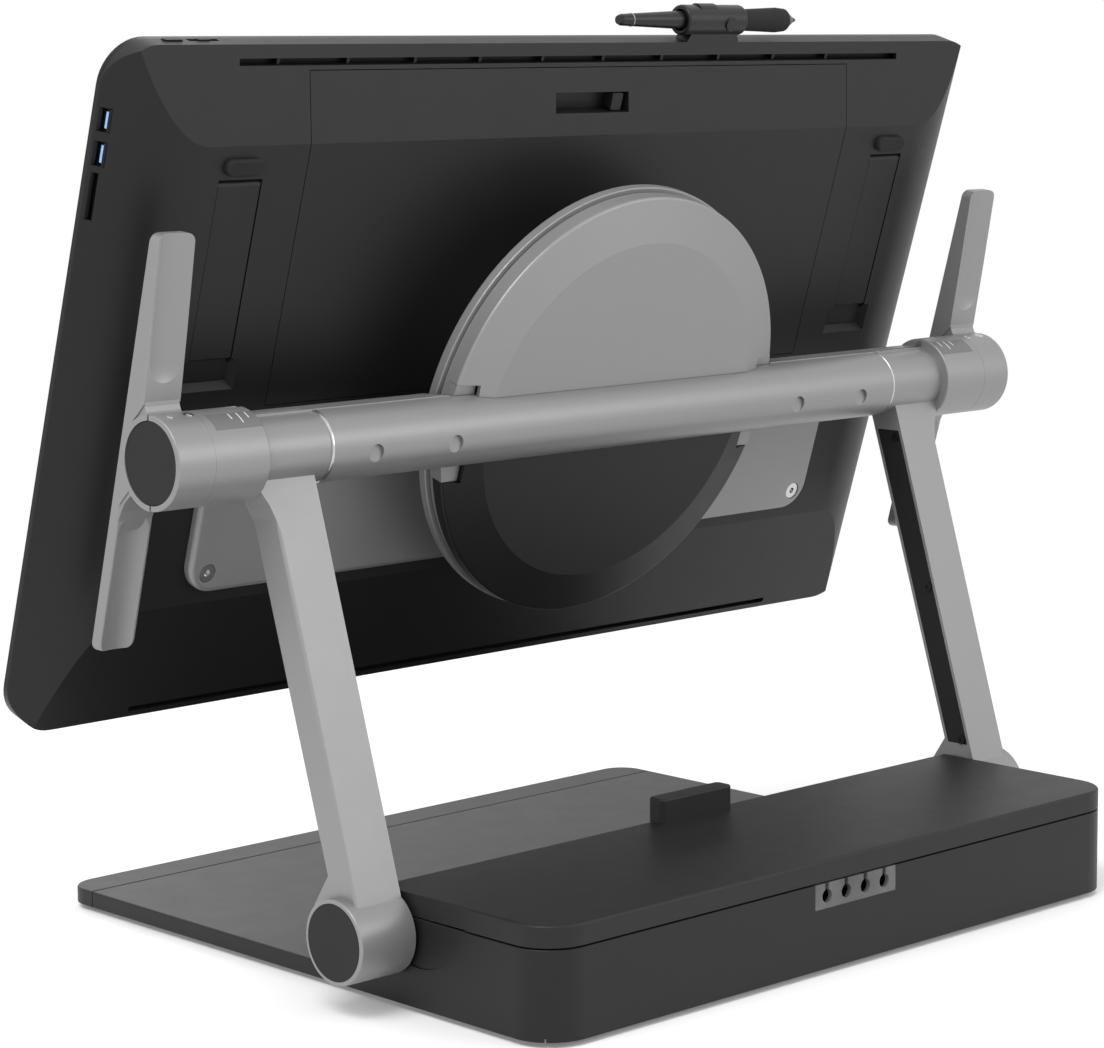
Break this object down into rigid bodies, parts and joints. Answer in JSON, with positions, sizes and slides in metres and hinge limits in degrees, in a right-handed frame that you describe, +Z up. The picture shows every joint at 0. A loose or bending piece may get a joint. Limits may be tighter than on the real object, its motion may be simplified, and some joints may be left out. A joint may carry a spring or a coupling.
{
  "type": "pen display tablet on adjustable stand",
  "caption": "Large flat pen display with rounded corners on a two-arm stand with crossbar, round hub, release levers, tray base with lidded storage box, and a pen in a top clip.",
  "frame": {"origin": "centre of the base's footprint, at the level of the feet's underside", "axes": "+Z up; X along the crossbar, +X to the user's right; the screen faces -Y"},
  "size_m": [0.677, 0.4248, 0.5327],
  "materials": {
    "satin_silver": "satin silver paint",
    "black_plastic": "fine textured charcoal plastic",
    "lid_plastic": "fine textured charcoal plastic",
    "frame_metal": "black anodised frame",
    "screen_glass": "etched anti-glare glass",
    "rubber_black": "matte rubber",
    "rubber_grey": "mid-grey rubber",
    "steel": "bright steel",
    "bronze": "sintered bronze",
    "port_blue": "blue plastic",
    "board_green": "solder mask",
    "panel_grey": "module casing",
    "pen_gloss": "semi-gloss plastic"
  },
  "bodies": {
    "root": {"base_tray": "black_plastic", "tray_front_strip": "black_plastic", "base_plate": "steel", "rubber_feet": "rubber_black", "storage_box": "black_plastic", "cable_port": "rubber_grey", "pivot_brackets": "steel", "pivot_bushes": "bronze", "lid_hinge_pins": "steel"},
    "lid": {"storage_lid": "lid_plastic", "lid_block": "lid_plastic"},
    "arms": {"arm_right": "satin_silver", "arm_left": "satin_silver", "arm_cover_right": "black_plastic", "arm_cover_left": "black_plastic", "arm_cover_screws": "steel", "pivot_caps": "black_plastic", "pivot_shaft": "steel", "counterbalance_springs": "steel", "tilt_bushes": "bronze"},
    "crossbar": {"crossbar_tube": "satin_silver", "tube_plugs": "satin_silver", "end_hub_right": "satin_silver", "end_hub_left": "satin_silver", "end_caps": "black_plastic", "end_screws": "steel", "hub_housing": "satin_silver", "hub_cover_upper": "satin_silver", "hub_cover_lower": "black_plastic"},
    "lever_right": {"lever_right": "satin_silver"},
    "lever_left": {"lever_left": "satin_silver"},
    "display": {"hub_ring": "satin_silver", "hub_bearing": "bronze", "mounting_plate": "satin_silver", "plate_screws": "steel", "rear_cover": "black_plastic", "centre_cover": "black_plastic", "front_glass": "screen_glass", "mid_frame": "frame_metal", "lcd_panel": "panel_grey", "main_board": "board_green", "side_ports": "steel", "port_tongues": "port_blue", "vent_grilles": "black_plastic", "rear_pads": "rubber_black", "leg_pins": "steel", "pen_holder": "pen_gloss"},
    "leg_right": {"leg_right": "black_plastic"},
    "leg_left": {"leg_left": "black_plastic"},
    "cover_latch": {"cover_latch": "black_plastic"},
    "power_button": {"power_button": "black_plastic"},
    "touch_switch": {"touch_switch": "black_plastic"},
    "pen": {"pen_barrel": "pen_gloss", "pen_grip": "rubber_black", "pen_tip": "pen_gloss"}
  },
  "joints": [
    {"name": "arm_lean", "type": "hinge", "parent": "root", "child": "arms", "pos_m": [0, 0.0885, 0.0419], "axis": [-1, 0, 0], "range_deg": [-20, 12]},
    {"name": "lid_hinge", "type": "hinge", "parent": "root", "child": "lid", "pos_m": [0, 0.0822, 0.0572], "axis": [1, 0, 0], "range_deg": [0, 75]},
    {"name": "screen_tilt", "type": "hinge", "parent": "arms", "child": "crossbar", "pos_m": [0, 0.02124, 0.29554], "axis": [1, 0, 0], "range_deg": [-35, 15]},
    {"name": "right_lever", "type": "hinge", "parent": "crossbar", "child": "lever_right", "pos_m": [0.322, 0.02124, 0.29554], "axis": [1, 0, 0], "range_deg": [-3, 3], "stiffness_Nm_per_rad": 10},
    {"name": "left_lever", "type": "hinge", "parent": "crossbar", "child": "lever_left", "pos_m": [-0.322, 0.02124, 0.29554], "axis": [1, 0, 0], "range_deg": [-3, 3], "stiffness_Nm_per_rad": 10},
    {"name": "screen_turn", "type": "hinge", "parent": "crossbar", "child": "display", "pos_m": [0, -0.02433, 0.31233], "axis": [0, 0.9542, -0.299], "range_deg": [-20, 20]},
    {"name": "right_leg_fold", "type": "hinge", "parent": "display", "child": "leg_right", "pos_m": [0.2587, 0.00083, 0.43607], "axis": [-1, 0, 0], "range_deg": [-68, 0]},
    {"name": "left_leg_fold", "type": "hinge", "parent": "display", "child": "leg_left", "pos_m": [-0.2587, 0.00083, 0.43607], "axis": [1, 0, 0], "range_deg": [0, 68]},
    {"name": "latch_slide", "type": "slide", "parent": "display", "child": "cover_latch", "axis": [1, 0, 0], "range_m": [0, 0.01]},
    {"name": "power_press", "type": "slide", "parent": "display", "child": "power_button", "axis": [0, -0.299, -0.9542], "range_m": [0, 0.0008], "stiffness_N_per_m": 500},
    {"name": "touch_slide", "type": "slide", "parent": "display", "child": "touch_switch", "axis": [1, 0, 0], "range_m": [-0.004, 0.004]},
    {"name": "pen_pull", "type": "slide", "parent": "display", "child": "pen", "axis": [-1, 0, 0], "range_m": [0, 0.11]}
  ]
}
